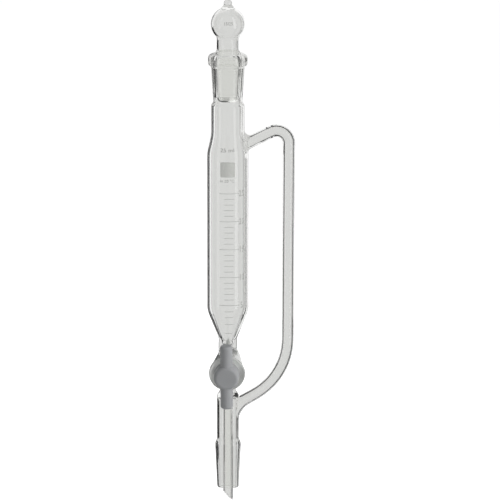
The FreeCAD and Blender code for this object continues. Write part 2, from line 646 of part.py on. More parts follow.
# Handle bar: a round rod through the hub, square to the plug and in line with its bore
def make_handle_bar():
    body = new_body("handle_bar")
    half = "(dims.bar_length / 2)"
    sketch = new_sketch(body, "bar_outline", "XY_Plane")
    draw_outline(sketch, [
        ("0", f"-{half}"),
        ("dims.bar_radius", f"-{half}", "dims.bar_round"),
        ("dims.bar_radius", half, "dims.bar_round"),
        ("0", half),
    ])
    sketch.AttachmentOffset = Placement(Vector(0, 0, number(bar_station)), Rotation())
    sketch.setExpression("AttachmentOffset.Base.z", bar_station)
    doc.recompute()
    turn(body, "Revolution", "bar", sketch)
    place_on_barrel(body)
    return body


# Washer that bears on the small end of the barrel
def make_washer():
    body = new_body("plug_washer")
    face = "(dims.barrel_back + dims.washer_gap)"
    turned(body, "Revolution", "washer", "XZ_Plane", [
        ("dims.tail_radius + dims.thread_gap", f"-{face} - dims.washer_height"),
        ("dims.washer_radius", f"-{face} - dims.washer_height"),
        ("dims.washer_radius", f"-{face}"),
        ("dims.tail_radius + dims.thread_gap", f"-{face}"),
    ])
    place_on_barrel(body)
    return body


# Rubber ring between the washer and the nut
def make_ring():
    ring = doc.addObject("Part::Torus", "o_ring")
    ring.Label = "o_ring"
    ring.setExpression("Radius1", "dims.tail_radius + dims.thread_gap + dims.ring_section")
    ring.setExpression("Radius2", "dims.ring_section")
    station = "(dims.barrel_back + dims.washer_gap + dims.washer_height + dims.ring_section)"
    ring.Placement = Placement(Vector(0, 0, 0), Rotation(Vector(1, 0, 0), 90))
    ring.setExpression("Placement.Base.y", f"{station} * cos(dims.barrel_tilt)")
    ring.setExpression("Placement.Base.z", f"{barrel_height} + {station} * sin(dims.barrel_tilt)")
    ring.setExpression("Placement.Rotation.Angle", "90 + dims.barrel_tilt")
    doc.recompute()
    return ring


# Nut with finger flutes that draws the plug into its seat
def make_nut():
    body = new_body("lock_nut")
    face = "(dims.barrel_back + dims.washer_gap + dims.washer_height + 2 * dims.ring_section)"
    end = f"({face} + dims.nut_length)"
    turned(body, "Revolution", "nut_blank", "XZ_Plane", [
        ("dims.tail_radius + dims.thread_gap", f"-{end}"),
        ("dims.nut_radius", f"-{end}", "dims.nut_back_round"),
        ("dims.nut_radius", f"-{face}", "dims.nut_face_round"),
        ("dims.tail_radius + dims.thread_gap", f"-{face}"),
    ])
    sketch = new_sketch(body, "flute_outline", "XY_Plane")
    flute_reach = "(dims.nut_radius + dims.flute_offset)"
    item = sketch.addGeometry(Part.Circle(Vector(number(flute_reach), 0, 0), Vector(0, 0, 1),
                                          number("dims.flute_radius")))
    pin_point(sketch, item, 3, flute_reach, "0")
    bind(sketch, Sketcher.Constraint("Radius", item, number("dims.flute_radius")), "dims.flute_radius")
    before = body.Shape.Volume
    flute = body.newObject("PartDesign::Pocket", "flute")
    flute.Profile = sketch
    flute.Type = "ThroughAll"
    flute.Midplane = True
    sketch.Visibility = False
    doc.recompute()
    cut_must_shrink(flute, before)
    pattern = body.newObject("PartDesign::PolarPattern", "flutes")
    pattern.Originals = [flute]
    pattern.Axis = (sketch, ["N_Axis"])
    pattern.Angle = 360
    pattern.Occurrences = int(number("dims.nut_flutes"))
    pattern.setExpression("Occurrences", "dims.nut_flutes")
    body.Tip = pattern
    doc.recompute()
    place_on_barrel(body)
    return body


def check_part(item):
    """Every piece must be one valid solid without an error on any object."""
    for thing in doc.Objects:
        if "Invalid" in thing.State or "Error" in thing.State:
            raise RuntimeError(f"{thing.Name} is in error")
    if item.Shape.isNull() or not item.Shape.isValid() or len(item.Shape.Solids) != 1:
        raise RuntimeError(f"{item.Label} is no single valid solid")


bar_station = "(dims.barrel_front + dims.plug_step + dims.hub_length / 2)"

doc = FreeCAD.newDocument("addition_funnel")
dims = make_sheet(doc)
reader = doc.addObject("App::FeaturePython", "reader")

pieces = [
    make_funnel_body(),
    make_stopper(),
    make_plug(),
    make_handle_bar(),
    make_washer(),
    make_ring(),
    make_nut(),
]
doc.recompute()

os.makedirs("parts", exist_ok=True)
for piece in pieces:
    check_part(piece)
    piece.Shape.exportStep(f"parts/{piece.Label}.step")
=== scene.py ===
import math

import bmesh
import bpy
from mathutils import Matrix, Vector
from mathutils.bvhtree import BVHTree


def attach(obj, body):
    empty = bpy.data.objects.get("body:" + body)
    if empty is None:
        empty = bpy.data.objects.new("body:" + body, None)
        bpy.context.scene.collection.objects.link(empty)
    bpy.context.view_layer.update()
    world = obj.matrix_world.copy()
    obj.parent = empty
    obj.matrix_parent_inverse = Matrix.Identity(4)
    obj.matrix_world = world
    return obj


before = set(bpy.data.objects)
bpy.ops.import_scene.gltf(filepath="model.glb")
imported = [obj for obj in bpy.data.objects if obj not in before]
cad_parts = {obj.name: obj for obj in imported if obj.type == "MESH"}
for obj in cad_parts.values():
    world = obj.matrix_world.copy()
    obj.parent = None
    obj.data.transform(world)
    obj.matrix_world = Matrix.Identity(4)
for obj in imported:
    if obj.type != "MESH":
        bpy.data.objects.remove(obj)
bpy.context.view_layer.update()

# Funnel body
# The real piece is blown and tube-drawn borosilicate glass, fire-polished. The socket's inside and the lower
# cone are ground very finely. The drawn tube has faint streaks along its length.

MM = 0.001
TILT = math.radians(10)
BARREL_CENTRE = Vector((0, 0, 45.6)) * MM
BARREL_AXIS = Vector((0, -math.cos(TILT), -math.sin(TILT)))
JOINT_RADIUS = 7.5
JOINT_SLOPE = 0.05
JOINT_LENGTH = 25
SOCKET_RIM = 229.24
BARREL_FRONT = 14
BARREL_FACE_RADIUS = 14
SEAT_RADIUS = 7.45
SEAT_SLOPE = 0.1
REFRACTION = 1.474


class Number:
    """A socket of a material's tree that ordinary arithmetic works on."""

    def __init__(self, tree, socket):
        self.tree = tree
        self.socket = socket

    def work(self, operation, *values):
        made = add_node(self.tree, "ShaderNodeMath", {"operation": operation}, {})
        for place, value in enumerate(values):
            feed(self.tree, made.inputs[place], value)
        return Number(self.tree, made.outputs[0])

    def __add__(self, other):
        return self.work("ADD", self, other)

    def __radd__(self, other):
        return self.work("ADD", other, self)

    def __sub__(self, other):
        return self.work("SUBTRACT", self, other)

    def __rsub__(self, other):
        return self.work("SUBTRACT", other, self)

    def __mul__(self, other):
        return self.work("MULTIPLY", self, other)

    def __rmul__(self, other):
        return self.work("MULTIPLY", other, self)

    def __truediv__(self, other):
        return self.work("DIVIDE", self, other)

    def __rtruediv__(self, other):
        return self.work("DIVIDE", other, self)

    def __neg__(self):
        return self.work("MULTIPLY", self, -1)

    def __abs__(self):
        return self.work("ABSOLUTE", self)

    def root(self):
        return self.work("SQRT", self)

    def at_least(self, other):
        return self.work("MAXIMUM", self, other)

    def step(self, low, high):
        """0 below low and 1 above high, smooth between them."""
        made = add_node(self.tree, "ShaderNodeMapRange", {"interpolation_type": "SMOOTHSTEP"},
                        {"Value": self, "From Min": low, "From Max": high, "To Min": 0.0, "To Max": 1.0})
        return Number(self.tree, made.outputs[0])


def feed(tree, socket, value):
    """Link a Number or a socket, or set a constant."""
    if isinstance(value, Number):
        tree.links.new(value.socket, socket)
    elif isinstance(value, bpy.types.NodeSocket):
        tree.links.new(value, socket)
    else:
        socket.default_value = value


def add_node(tree, kind, settings, inputs):
    """A node of any kind, with its settings and the values or links of its sockets."""
    made = tree.nodes.new(kind)
    for name, value in settings.items():
        setattr(made, name, value)
    for name, value in inputs.items():
        feed(tree, made.inputs[name], value)
    return made


def new_material(name):
    """An empty material tree and its output."""
    material = bpy.data.materials.new(name)
    material.use_nodes = True
    material.node_tree.nodes.clear()
    output = add_node(material.node_tree, "ShaderNodeOutputMaterial", {}, {})
    return material, material.node_tree, output


def place(tree):
    """The point's place as a vector in metres, and its x, y and z in millimetres."""
    spot = add_node(tree, "ShaderNodeTexCoord", {}, {}).outputs["Object"]
    parts = add_node(tree, "ShaderNodeSeparateXYZ", {}, {"Vector": spot}).outputs
    x, y, z = (Number(tree, part) * 1000 for part in parts)
    return spot, x, y, z


def vector_node(tree, operation, inputs):
    """A node that does arithmetic on vectors."""
    return add_node(tree, "ShaderNodeVectorMath", {"operation": operation}, inputs)


def noise(tree, spot, scale, detail=2.0, stretch=(1, 1, 1)):
    """Noise from 0 to 1, finer along the axes with the larger stretch."""
    shaped = vector_node(tree, "MULTIPLY", {0: spot, 1: stretch}).outputs[0]
    made = add_node(tree, "ShaderNodeTexNoise", {}, {"Vector": shaped, "Scale": scale, "Detail": detail})
    return Number(tree, made.outputs["Fac"])


def mixed_colour(tree, factor, first, second):
    """A colour between two others."""
    made = add_node(tree, "ShaderNodeMix", {"data_type": "RGBA"}, {0: factor, 6: first, 7: second})
    return made.outputs[2]


FINE_GRIND = 0.003
COARSE_GRIND = 0.35
TRAPPED_REFLECTIONS = 3.5
TRAPPED_SURFACES = 9.5
PAINTED_GLOW_STRENGTH = 0.62


def trapped_light(tree, path):
    """1 for rays that have reflected or crossed the glass so many times that they would be lost; there the
    glass shows a painted glow of fixed strength instead.
    """
    reflections = Number(tree, path["Glossy Depth"])
    surfaces = Number(tree, path["Ray Depth"])
    many_reflections = reflections.step(TRAPPED_REFLECTIONS - 0.1, TRAPPED_REFLECTIONS + 0.1)
    many_surfaces = surfaces.step(TRAPPED_SURFACES - 0.1, TRAPPED_SURFACES + 0.1)
    return many_reflections.at_least(many_surfaces)


def glass(name, colour, ground):
    """Clear glass, finely ground where the first mask of ground() is 1 and coarsely where the second is."""
    material, tree, output = new_material(name)
    spot, x, y, z = place(tree)
    r = (x * x + y * y).root()
    streaks = noise(tree, spot, 900, 2, (1, 1, 0.03))
    ripples = noise(tree, spot, 90, 1, (1, 1, 0.25))
    grain = noise(tree, spot, 6000, 2)
    fine, coarse = ground(tree, spot, z, r)
    height = streaks * 0.25 + ripples * 0.75 + fine * grain * 0.05
    bump = add_node(tree, "ShaderNodeBump", {}, {"Strength": 0.04, "Distance": 0.0002, "Height": height})
    shade = mixed_colour(tree, streaks, (*colour, 1), (*[c * 0.985 for c in colour], 1))
    dull = (fine * (FINE_GRIND + FINE_GRIND * grain)).at_least(coarse * COARSE_GRIND)
    clear = add_node(tree, "ShaderNodeBsdfPrincipled", {}, {
        "Base Color": shade, "Roughness": dull, "IOR": REFRACTION,
        "Transmission Weight": 1.0, "Normal": bump.outputs[0]})
    passing = add_node(tree, "ShaderNodeBsdfTransparent", {}, {"Color": (0.9, 0.905, 0.9, 1)})
    frost = add_node(tree, "ShaderNodeBsdfDiffuse", {}, {"Color": (0.62, 0.63, 0.61, 1)})
    frosted = add_node(tree, "ShaderNodeMixShader", {}, {
        0: coarse * COARSE_GRIND, 1: clear.outputs[0], 2: frost.outputs[0]})
    path = add_node(tree, "ShaderNodeLightPath", {}, {}).outputs
    # Painted light: a fixed emission lights up the glass wherever a ray has gone round in it too long, in
    # place of the light such a ray would bring.
    painted_glow = add_node(tree, "ShaderNodeEmission", {}, {"Color": (1, 1, 0.98, 1), "Strength": PAINTED_GLOW_STRENGTH})
    with_painted_glow = add_node(tree, "ShaderNodeMixShader", {}, {
        0: trapped_light(tree, path), 1: frosted.outputs[0], 2: painted_glow.outputs[0]})
    both = add_node(tree, "ShaderNodeMixShader", {}, {
        0: path["Is Shadow Ray"], 1: with_painted_glow.outputs[0], 2: passing.outputs[0]})
    feed(tree, output.inputs["Surface"], both.outputs[0])
    return material


def near_cone(r, z, top):
    """1 close to the tapered ground face whose big end is at height top."""
    face = JOINT_RADIUS - JOINT_SLOPE * (top - z)
    on_face = 1 - abs(r - face).step(0.25, 0.3)
    above_small_end = z.step(top - JOINT_LENGTH - 0.2, top - JOINT_LENGTH + 0.3)
    below_big_end = 1 - z.step(top - 0.2, top + 0.1)
    return on_face * above_small_end * below_big_end


def along_and_off(tree, spot, start, direction):
    """How far along a line a point lies and how far off it, in millimetres."""
    offset = vector_node(tree, "SUBTRACT", {0: spot, 1: start}).outputs[0]
    along = vector_node(tree, "DOT_PRODUCT", {0: offset, 1: direction}).outputs[1]
    size = vector_node(tree, "LENGTH", {0: offset}).outputs[1]
    along, size = Number(tree, along) * 1000, Number(tree, size) * 1000
    return along, (size * size - along * along).at_least(0.0).root()


def body_ground(tree, spot, z, r):
    """The two ground cones and, duller, the barrel's seat and its ground front face."""
    along, off = along_and_off(tree, spot, BARREL_CENTRE, BARREL_AXIS)
    seat_radius = SEAT_RADIUS - SEAT_SLOPE * (BARREL_FRONT - along)
    seat = (1 - abs(off - seat_radius).step(0.2, 0.3)) * (1 - r.step(16, 18))
    near_barrel = 1 - off.step(BARREL_FACE_RADIUS, BARREL_FACE_RADIUS + 1)
    front = along.step(BARREL_FRONT - 0.3, BARREL_FRONT - 0.1) * near_barrel
    return near_cone(r, z, 0.0).at_least(near_cone(r, z, SOCKET_RIM)), seat.at_least(front)


def dress(node, material):
    """Give a CAD node its material."""
    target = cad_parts[node]
    target.data.materials.clear()
    target.data.materials.append(material)
    return target


BODY_COLOUR = (0.985, 0.988, 0.976)
body = dress("funnel_body", glass("body_glass_look", BODY_COLOUR, body_ground))

# Scale
# The real scale is a thin grey enamel fired on the front of the reservoir. It has a short line for each
# millilitre, and a long line and a number for every fifth. Above them are a plain write-on patch and the
# volume.

glass_surface = BVHTree.FromObject(body, bpy.context.evaluated_depsgraph_get())
ENAMEL_HEIGHT = 0.012
SCALE_COLOUR = (0.30, 0.31, 0.29)
CLEAR_OF_GLASS = 16


def on_glass(angle, height, surface):
    """A point of enamel on the glass, at an angle to the right of the front and a height in millimetres."""
    turn = math.radians(angle)
    outward = Vector((math.sin(turn), -math.cos(turn), 0))
    start = outward * CLEAR_OF_GLASS * MM + Vector((0, 0, height * MM))
    return surface.ray_cast(start, -outward)[0] + outward * ENAMEL_HEIGHT * MM


def enamel(name, colour, cover):
    """Fired enamel, matt and a little uneven, worn thin in specks."""
    material, tree, output = new_material(name)
    spot, x, y, z = place(tree)
    patchy = noise(tree, spot, 2500, 3)
    shade = mixed_colour(tree, patchy, (*[c * 0.85 for c in colour], 1), (*[c * 1.15 for c in colour], 1))
    bump = add_node(tree, "ShaderNodeBump", {}, {"Strength": 0.3, "Distance": 0.00002, "Height": patchy})
    paint = add_node(tree, "ShaderNodeBsdfPrincipled", {}, {
        "Base Color": shade, "Roughness": 0.5 + 0.2 * patchy, "Normal": bump.outputs[0],
        "Alpha": cover * (0.75 + 0.5 * patchy)})
    feed(tree, output.inputs["Surface"], paint.outputs[0])
    return material


def printed_strip(builder, low_angle, high_angle, height, width):
    """A line of enamel across the reservoir, with a corner every two degrees."""
    steps = max(2, int(abs(high_angle - low_angle) / 2))
    rows = []
    for index in range(steps + 1):
        angle = low_angle + (high_angle - low_angle) * index / steps
        rows.append([builder.verts.new(on_glass(angle, height + side * width / 2, glass_surface))
                     for side in (-1, 1)])
    for first, second in zip(rows, rows[1:]):
        builder.faces.new((first[0], second[0], second[1], first[1]))


def finished(builder, name, material, carrier):
    """Turn mesh work into a piece that rides on a CAD body."""
    mesh = bpy.data.meshes.new(name)
    builder.to_mesh(mesh)
    builder.free()
    piece = bpy.data.objects.new(name, mesh)
    bpy.context.scene.collection.objects.link(piece)
    mesh.materials.append(material)
    mesh.polygons.foreach_set("use_smooth", [True] * len(mesh.polygons))
    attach(piece, carrier)
    return piece


def printed_text(builder, text, size, angle, height, surface, radius, stretch=1.0):
    """Upright figures wrapped on the glass, centred at an angle and a height."""
    curve = bpy.data.curves.new("figures", "FONT")
    curve.body = text
    curve.size = size
    curve.offset = size * 0.012
    curve.align_x = "CENTER"
    curve.align_y = "CENTER"
    curve.resolution_u = 4
    holder = bpy.data.objects.new("figures", curve)
    bpy.context.scene.collection.objects.link(holder)
    bpy.context.view_layer.update()
    flat = bpy.data.meshes.new_from_object(holder.evaluated_get(bpy.context.evaluated_depsgraph_get()))
    bpy.data.objects.remove(holder)
    corners = []
    for vertex in flat.vertices:
        turn = angle + math.degrees(stretch * vertex.co.x / radius)
        corners.append(builder.verts.new(on_glass(turn, height + vertex.co.y, surface)))
    for face in flat.polygons:
        builder.faces.new([corners[index] for index in face.vertices])
    bpy.data.meshes.remove(flat)


LINE_WIDTH = 0.26
FIVE_MARK = 83.2
MARK_SPACING = 3.29
SHORT_LINE = (-7.5, 18.5)
LONG_LINE = (-21.5, 36)
LINE_MIDDLE = (SHORT_LINE[0] + SHORT_LINE[1]) / 2
CONE_LINES = ((79.5, 12), (75.9, 12.5), (71.5, 14), (65.8, 15))
FIGURE_ANGLE = 44
scale_enamel = enamel("scale_enamel", SCALE_COLOUR, 0.8)
scale_mesh = bmesh.new()
for millilitre in range(5, 26):
    mark = FIVE_MARK + (millilitre - 5) * MARK_SPACING
    printed_strip(scale_mesh, *(SHORT_LINE if millilitre % 5 else LONG_LINE), mark, LINE_WIDTH)
for mark, half in CONE_LINES:
    printed_strip(scale_mesh, LINE_MIDDLE - half, LINE_MIDDLE + half, mark, LINE_WIDTH)
finished(scale_mesh, "scale_lines", scale_enamel, "funnel")

figures_mesh = bmesh.new()
for millilitre in range(5, 26, 5):
    mark = FIVE_MARK + (millilitre - 5) * MARK_SPACING
    printed_text(figures_mesh, str(millilitre), 5.0, FIGURE_ANGLE, mark - 0.2, glass_surface, 12, 0.8)
printed_text(figures_mesh, "25 ml", 3.0, 0.5, 174.3, glass_surface, 11, 1.2)
printed_text(figures_mesh, "in 20 \u00b0C", 2.3, 0.5, 156.4, glass_surface, 12, 1.1)
finished(figures_mesh, "scale_numbers", scale_enamel, "funnel")

patch_enamel = enamel("patch_enamel", (0.42, 0.43, 0.40), 0.62)
patch_mesh = bmesh.new()
PATCH_LOW, PATCH_HIGH = 158.6, 167.6
PATCH_MIDDLE = 2
PATCH_HALF = 21
PATCH_CORNER = 0.12
ROWS = 24
grid = []
for row in range(ROWS + 1):
    up = 2 * row / ROWS - 1
    corner = max(0, abs(up) - (1 - PATCH_CORNER)) / PATCH_CORNER
    half = PATCH_HALF * (1 - PATCH_CORNER * (1 - math.sqrt(max(0, 1 - corner * corner))))
    height = PATCH_LOW + (PATCH_HIGH - PATCH_LOW) * row / ROWS
    angles = [PATCH_MIDDLE + half * (2 * column / ROWS - 1) for column in range(ROWS + 1)]
    grid.append([patch_mesh.verts.new(on_glass(angle, height, glass_surface)) for angle in angles])
for lower, upper in zip(grid, grid[1:]):
    for column in range(ROWS):
        patch_mesh.faces.new((lower[column], lower[column + 1], upper[column + 1], upper[column]))
finished(patch_mesh, "write_on_patch", patch_enamel, "funnel")

# Stopper
# The real piece is blown from the same glass, hollow, with a ground cone and a ball to hold it by. The ball
# carries the size of its joint in grey enamel.

STOPPER_LENGTH = 27.3


def stopper_ground(tree, spot, z, r):
    """The stopper's ground cone; it has no coarsely ground face."""
    face = JOINT_RADIUS - JOINT_SLOPE * (SOCKET_RIM - z)
    low_end = SOCKET_RIM - STOPPER_LENGTH
    return (1 - abs(r - face).step(0.25, 0.3)) * z.step(low_end + 1, low_end + 1.5), z * 0


stopper = dress("stopper", glass("stopper_glass_look", BODY_COLOUR, stopper_ground))
stopper_surface = BVHTree.FromObject(stopper, bpy.context.evaluated_depsgraph_get())
stopper_mark = bmesh.new()
printed_text(stopper_mark, "15/25", 2.5, 4, 248.4, stopper_surface, 9.85)
finished(stopper_mark, "stopper_size", scale_enamel, "funnel")

# Stopcock plug and its handle
# The real pieces are turned from white PTFE: waxy, faintly translucent, with fine turning marks round the
# plug and its hub, and a drawn bar through the hub. Their grey is painted shade: the white written darker to
# stand in for the shade they sit in. The washer on the plug's tail is given a paler grey.


def turned_plastic(name, colour, start, direction, marks, roughness):
    """Turned plastic: fine rings round an axis, cloudy colour and a soft waxy gloss."""
    material, tree, output = new_material(name)
    spot, x, y, z = place(tree)
    along, off = along_and_off(tree, spot, start, direction)
    cloud = noise(tree, spot, 260, 3)
    speck = noise(tree, spot, 3000, 2)
    rings = add_node(tree, "ShaderNodeCombineXYZ", {}, {"X": along * marks, "Y": off * marks})
    lathe = Number(tree, add_node(tree, "ShaderNodeTexNoise", {}, {
        "Vector": rings.outputs[0], "Scale": 1.0, "Detail": 2.0}).outputs["Fac"])
    shade = mixed_colour(tree, cloud * 0.6 + lathe * 0.4, (*[c * 0.93 for c in colour], 1),
                         (*[min(1, c * 1.07) for c in colour], 1))
    bump = add_node(tree, "ShaderNodeBump", {}, {"Strength": 0.25, "Distance": 0.00004,
                                                  "Height": lathe * 0.7 + speck * 0.3})
    plastic = add_node(tree, "ShaderNodeBsdfPrincipled", {}, {
        "Base Color": shade, "Roughness": roughness + 0.15 * speck, "IOR": 1.35,
        "Subsurface Weight": 0.06, "Subsurface Radius": (0.001, 0.001, 0.001), "Subsurface Scale": 1.0,
        "Normal": bump.outputs[0]})
    feed(tree, output.inputs["Surface"], plastic.outputs[0])
    return material


# Painted shade: white PTFE written as a dark grey, for the plug, the handle bar and the tail's thread.
SHADED_PTFE_COLOUR = (0.305, 0.310, 0.318)
dress("stopcock_plug", turned_plastic("plug_ptfe_look", SHADED_PTFE_COLOUR, BARREL_CENTRE, BARREL_AXIS, 7, 0.38))
BAR_DIRECTION = Vector((0, -math.sin(TILT), math.cos(TILT)))
BAR_FORWARD = 18.45
BAR_CENTRE = BARREL_CENTRE + BARREL_AXIS * BAR_FORWARD * MM
dress("handle_bar", turned_plastic("handle_ptfe_look", SHADED_PTFE_COLOUR, BAR_CENTRE, BAR_DIRECTION, 5, 0.36))
PALE_PTFE = (0.5, 0.505, 0.51)
dress("plug_washer", turned_plastic("washer_ptfe_look", PALE_PTFE, BARREL_CENTRE, BARREL_AXIS, 9, 0.4))

# Rubber ring
# The real ring is moulded black rubber, slightly dusty. It sits on the plug's tail, pressed between the
# washer and the nut.

material, tree, output = new_material("ring_rubber_look")
spot, x, y, z = place(tree)
dust = noise(tree, spot, 1500, 3)
bump = add_node(tree, "ShaderNodeBump", {}, {"Strength": 0.2, "Distance": 0.00003, "Height": dust})
rubber = add_node(tree, "ShaderNodeBsdfPrincipled", {}, {
    "Base Color": mixed_colour(tree, dust, (0.02, 0.02, 0.02, 1), (0.06, 0.06, 0.058, 1)),
    "Roughness": 0.45 + 0.3 * dust, "Normal": bump.outputs[0]})
feed(tree, output.inputs["Surface"], rubber.outputs[0])
dress("o_ring", material)

# Lock nut
# The real nut is moulded pale plastic with finger flutes, in a fine spark-eroded grain that is rubbed
# smoother on the crests. It screws onto the plug's tail.

material, tree, output = new_material("nut_plastic_look")
spot, x, y, z = place(tree)
along, off = along_and_off(tree, spot, BARREL_CENTRE, BARREL_AXIS)
grain = noise(tree, spot, 5000, 2)
cloud = noise(tree, spot, 400, 2)
NUT_WAIST, NUT_CREST = 5.2, 5.7
rubbed = off.step(NUT_WAIST, NUT_CREST)
bump = add_node(tree, "ShaderNodeBump", {}, {"Strength": 0.3, "Distance": 0.00003, "Height": grain})
plastic = add_node(tree, "ShaderNodeBsdfPrincipled", {}, {
    "Base Color": mixed_colour(tree, cloud, (0.52, 0.53, 0.52, 1), (0.58, 0.59, 0.58, 1)),
    "Roughness": 0.5 - 0.15 * rubbed + 0.1 * grain, "Normal": bump.outputs[0]})
feed(tree, output.inputs["Surface"], plastic.outputs[0])
dress("lock_nut", material)

# Thread on the plug's tail
# The real tail has a screw thread for the nut. A rounded ridge winds round the end that stands out of the nut
# and fades out before the tail's rounded edge.

THREAD_END = -20.15
THREAD_START = -19.2
TAIL_RADIUS = 2.6
PITCH = 0.5
CREST = 0.15
SUNK = -0.03
TURN_STEPS = 40
FADE_STEPS = 12
thread = bmesh.new()
side = Vector((1, 0, 0))
up = BARREL_AXIS.cross(side)
turns = (THREAD_START - THREAD_END) / PITCH
profile = ((-0.42, SUNK), (-0.2, 0.6 * CREST), (0, CREST), (0.2, 0.6 * CREST), (0.42, SUNK))
previous = None
count = int(turns * TURN_STEPS)
for index in range(count + 1):
    angle = 2 * math.pi * index / TURN_STEPS
    run = THREAD_END + (index / TURN_STEPS) * PITCH
    fade = min(1, index / FADE_STEPS, (count - index) / FADE_STEPS)
    out = side * math.cos(angle) + up * math.sin(angle)
    row = []
    for shift, rise in profile:
        lift = TAIL_RADIUS + (rise if rise < 0 else rise * fade)
        row.append(thread.verts.new(BARREL_CENTRE + (BARREL_AXIS * (run + shift * PITCH) + out * lift) * MM))
    if previous:
        for at in range(len(profile) - 1):
            thread.faces.new((previous[at], previous[at + 1], row[at + 1], row[at]))
    previous = row
bmesh.ops.recalc_face_normals(thread, faces=thread.faces)
thread_look = turned_plastic("thread_ptfe_look", SHADED_PTFE_COLOUR, BARREL_CENTRE, BARREL_AXIS, 7, 0.38)
finished(thread, "tail_thread", thread_look, "plug")

# Floor and surroundings
# A pale studio floor below the funnel and a white surround. The glass shows both at a brightness of its own,
# darker in a narrow band to each side, which gives it a dark outline. The fill light that the surround gives
# the floor, the print and the plastic is stronger from the right.

FLOOR_HEIGHT = -0.2
FLOOR_HALF = 30
SHOWN_TO_CAMERA = 0.75
SHOWN_IN_GLASS = 0.70
SHOWN_IN_FRONT = 0.65
BRIGHTER_BEHIND = 0.28
SIDE_DARKNESS = 0.9


def ray_kinds(tree):
    """1 for camera rays, 1 for reflected or refracted ones, and 1 once a ray has been reflected."""
    path = add_node(tree, "ShaderNodeLightPath", {}, {}).outputs
    camera_ray = Number(tree, path["Is Camera Ray"])
    glass_ray = Number(tree, path["Is Glossy Ray"]).at_least(Number(tree, path["Is Transmission Ray"]))
    reflected = Number(tree, path["Glossy Depth"]).step(0.4, 0.6)
    return camera_ray, glass_ray * (1 - camera_ray), reflected


def side_band(sideways):
    """1 in a band that starts well to one side and ends before the direction straight to that side."""
    return sideways.step(0.80, 0.88) * (1 - sideways.step(0.96, 0.985))


def shown_in_glass(x, y, reflected):
    """Brightness of the surroundings in the glass, with a dark band to the right and one to the left."""
    length = (x * x + y * y).root().at_least(0.0001)
    in_front = reflected * (1 - (y / length).step(0.35, 0.6))
    plain = SHOWN_IN_GLASS * (1 - in_front) + SHOWN_IN_FRONT * in_front
    plain = plain + BRIGHTER_BEHIND * reflected * (1 - in_front)
    dark_right = SIDE_DARKNESS * side_band(x / length)
    dark_left = SIDE_DARKNESS * (1 - reflected) * side_band(-x / length)
    return plain * (1 - dark_right) * (1 - dark_left)


def stage_piece(name, mesh_work, material):
    """A floor or card that isn't part of the funnel."""
    mesh = bpy.data.meshes.new(name)
    mesh_work.to_mesh(mesh)
    mesh_work.free()
    mesh.materials.append(material)
    piece = bpy.data.objects.new(name, mesh)
    bpy.context.scene.collection.objects.link(piece)
    return piece


material, tree, output = new_material("floor_look")
spot, x, y, z = place(tree)
camera_ray, glass_ray, reflected = ray_kinds(tree)
paint = add_node(tree, "ShaderNodeBsdfDiffuse", {}, {"Color": (0.8, 0.8, 0.8, 1)})
lift = add_node(tree, "ShaderNodeEmission", {}, {
    "Color": (1, 1, 1, 1), "Strength": camera_ray * SHOWN_TO_CAMERA})
pale = add_node(tree, "ShaderNodeAddShader", {}, {0: paint.outputs[0], 1: lift.outputs[0]})
in_glass = add_node(tree, "ShaderNodeEmission", {}, {
    "Color": (1, 1, 1, 1), "Strength": shown_in_glass(x, y, reflected)})
both = add_node(tree, "ShaderNodeMixShader", {}, {0: glass_ray, 1: pale.outputs[0], 2: in_glass.outputs[0]})
feed(tree, output.inputs["Surface"], both.outputs[0])
floor_mesh = bmesh.new()
bmesh.ops.create_grid(floor_mesh, x_segments=1, y_segments=1, size=FLOOR_HALF)
stage_piece("floor", floor_mesh, material).location.z = FLOOR_HEIGHT

FILL = 0.29
FILL_FROM_RIGHT = 0.42
LEAST_FILL = 0.02
world = bpy.data.worlds.new("studio")
bpy.context.scene.world = world
world.use_nodes = True
tree = world.node_tree
tree.nodes.clear()
output = add_node(tree, "ShaderNodeOutputWorld", {}, {})
direction = add_node(tree, "ShaderNodeTexCoord", {}, {}).outputs["Generated"]
parts = add_node(tree, "ShaderNodeSeparateXYZ", {}, {"Vector": direction}).outputs
x, y, z = (Number(tree, part) for part in parts)
camera_ray, glass_ray, reflected = ray_kinds(tree)
ambient = (FILL + FILL_FROM_RIGHT * x).at_least(LEAST_FILL)
in_glass = glass_ray * shown_in_glass(x, y, reflected)
strength = camera_ray + in_glass + (1 - camera_ray - glass_ray) * ambient
background = add_node(tree, "ShaderNodeBackground", {}, {"Color": (1, 1, 1, 1), "Strength": strength})
feed(tree, output.inputs["Surface"], background.outputs[0])

# Dark cards
# Black and dark grey cards stand behind the funnel, out of the camera's sight, as they do when clear glass is
# photographed. Only light that the glass has reflected meets them, and they give each tube its dark lines.


def black_card(name, panels, behind, tone):
    """Dark card panels this far behind the funnel's axis, met only by light reflected in the glass."""
    material, tree, output = new_material(name + "_look")
    reflected = ray_kinds(tree)[2]
    dark = add_node(tree, "ShaderNodeEmission", {}, {"Color": (1, 1, 1, 1), "Strength": tone})
    clear = add_node(tree, "ShaderNodeBsdfTransparent", {}, {})
    both = add_node(tree, "ShaderNodeMixShader", {}, {0: reflected, 1: clear.outputs[0], 2: dark.outputs[0]})
    feed(tree, output.inputs["Surface"], both.outputs[0])
    work = bmesh.new()
    for panel in panels:
        work.faces.new([work.verts.new(Vector((across, behind, up)) * MM) for across, up in panel])
    card = stage_piece(name, work, material)
    card.visible_camera = False
    card.visible_diffuse = False
    card.visible_shadow = False


def rectangle(left, right, low, high):
    """One upright panel."""
    return [((left, low), (right, low), (right, high), (left, high))]


ARM_CORNERS = ((27, 184.7), (35.5, 189.0), (34.5, 39.8), (12, 26.8))
ARM_BENDS = (7.3, 38)
BEND_STEPS = 12
DROP_FOR_VIEW = 1.5


